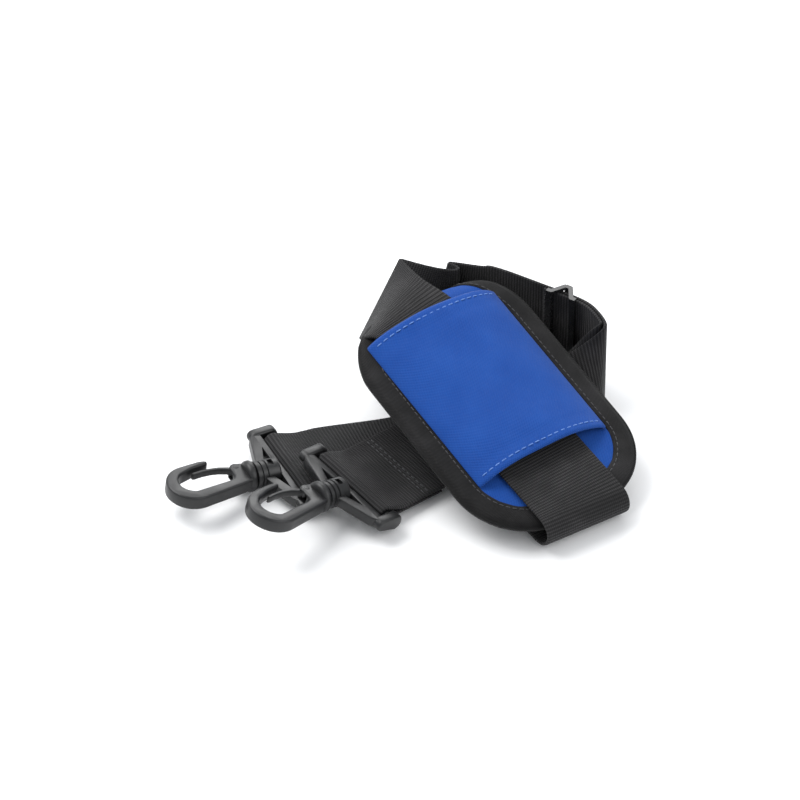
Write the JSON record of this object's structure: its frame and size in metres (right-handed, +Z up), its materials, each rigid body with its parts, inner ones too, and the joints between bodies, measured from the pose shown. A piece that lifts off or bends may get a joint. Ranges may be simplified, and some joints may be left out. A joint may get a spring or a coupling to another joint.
{
  "type": "padded shoulder strap",
  "caption": "Folded webbing strap with a padded shoulder sleeve, a swivel snap hook at each end and a sliding tri-glide adjuster.",
  "frame": {"origin": "bottom centre of the folded bundle's box, on the surface it lies on", "axes": "+Z up, +X along the bundle's longest side, -Y towards the hooks' near side"},
  "size_m": [0.2404, 0.1896, 0.0629],
  "materials": {
    "webbing": "woven",
    "binding": "twill",
    "backing": "woven",
    "fabric_blue": "woven",
    "foam": "soft",
    "thread_blue": "thread",
    "thread_black": "thread",
    "plastic": "satin moulded"
  },
  "bodies": {
    "strap": {"webbing_front_end": "webbing", "webbing_front_run": "webbing", "webbing_under_run": "webbing", "webbing_over_pad": "webbing", "webbing_rear_fold": "webbing", "webbing_rear_pass": "webbing", "webbing_outer_run": "webbing", "webbing_rear_end": "webbing", "webbing_inner_run": "webbing", "webbing_return_tail": "webbing", "front_turnback_stitching": "thread_black", "tail_box_stitching": "thread_black"},
    "pad": {"pad_foam": "foam", "pad_top_panel": "fabric_blue", "pad_back_panel": "backing", "pad_edge_binding": "binding", "pad_sleeve": "fabric_blue", "sleeve_stitching_upper": "thread_blue", "sleeve_stitching_lower": "thread_blue", "binding_stitching": "thread_black"},
    "front_base": {"front_swivel_base": "plastic"},
    "front_snap": {"front_hook": "plastic"},
    "front_latch": {"front_gate": "plastic"},
    "rear_base": {"rear_swivel_base": "plastic"},
    "rear_snap": {"rear_hook": "plastic"},
    "rear_latch": {"rear_gate": "plastic"},
    "adjuster": {"triglide": "plastic"}
  },
  "joints": [
    {"name": "front_base_pivot", "type": "hinge", "parent": "strap", "child": "front_base", "pos_m": [-0.02384, -0.04494, 0.011], "axis": [-0.6379, 0.7635, 0.1007], "range_deg": [0, 40]},
    {"name": "front_hook_swivel", "type": "hinge", "parent": "front_base", "child": "front_snap", "pos_m": [-0.04007, -0.0593, 0.01705], "axis": [0.7214, 0.6382, -0.2689], "continuous": true},
    {"name": "front_gate_pivot", "type": "hinge", "parent": "front_snap", "child": "front_latch", "pos_m": [-0.04874, -0.06033, 0.0196], "axis": [0.2696, 0.0989, 0.9579], "range_deg": [0, 20], "stiffness_Nm_per_rad": 0.02, "springref_deg": -11.46},
    {"name": "rear_base_pivot", "type": "hinge", "parent": "strap", "child": "rear_base", "pos_m": [-0.05604, -0.02443, 0.00592], "axis": [-0.4384, 0.8988, 0], "range_deg": [0, 6]},
    {"name": "rear_hook_swivel", "type": "hinge", "parent": "rear_base", "child": "rear_snap", "pos_m": [-0.07607, -0.0342, 0.00905], "axis": [0.89, 0.4341, -0.1392], "continuous": true},
    {"name": "rear_gate_pivot", "type": "hinge", "parent": "rear_snap", "child": "rear_latch", "pos_m": [-0.08502, -0.033, 0.01011], "axis": [0.1251, 0.061, 0.9903], "range_deg": [0, 20], "stiffness_Nm_per_rad": 0.02, "springref_deg": -11.46},
    {"name": "pad_slide", "type": "slide", "parent": "strap", "child": "pad", "axis": [-0.5982, 0.7608, 0.2519], "range_m": [-0.001, 0.0005]},
    {"name": "adjuster_slide", "type": "slide", "parent": "strap", "child": "adjuster", "axis": [0.8562, -0.5167, 0], "range_m": [-0.005, 0.001]}
  ]
}
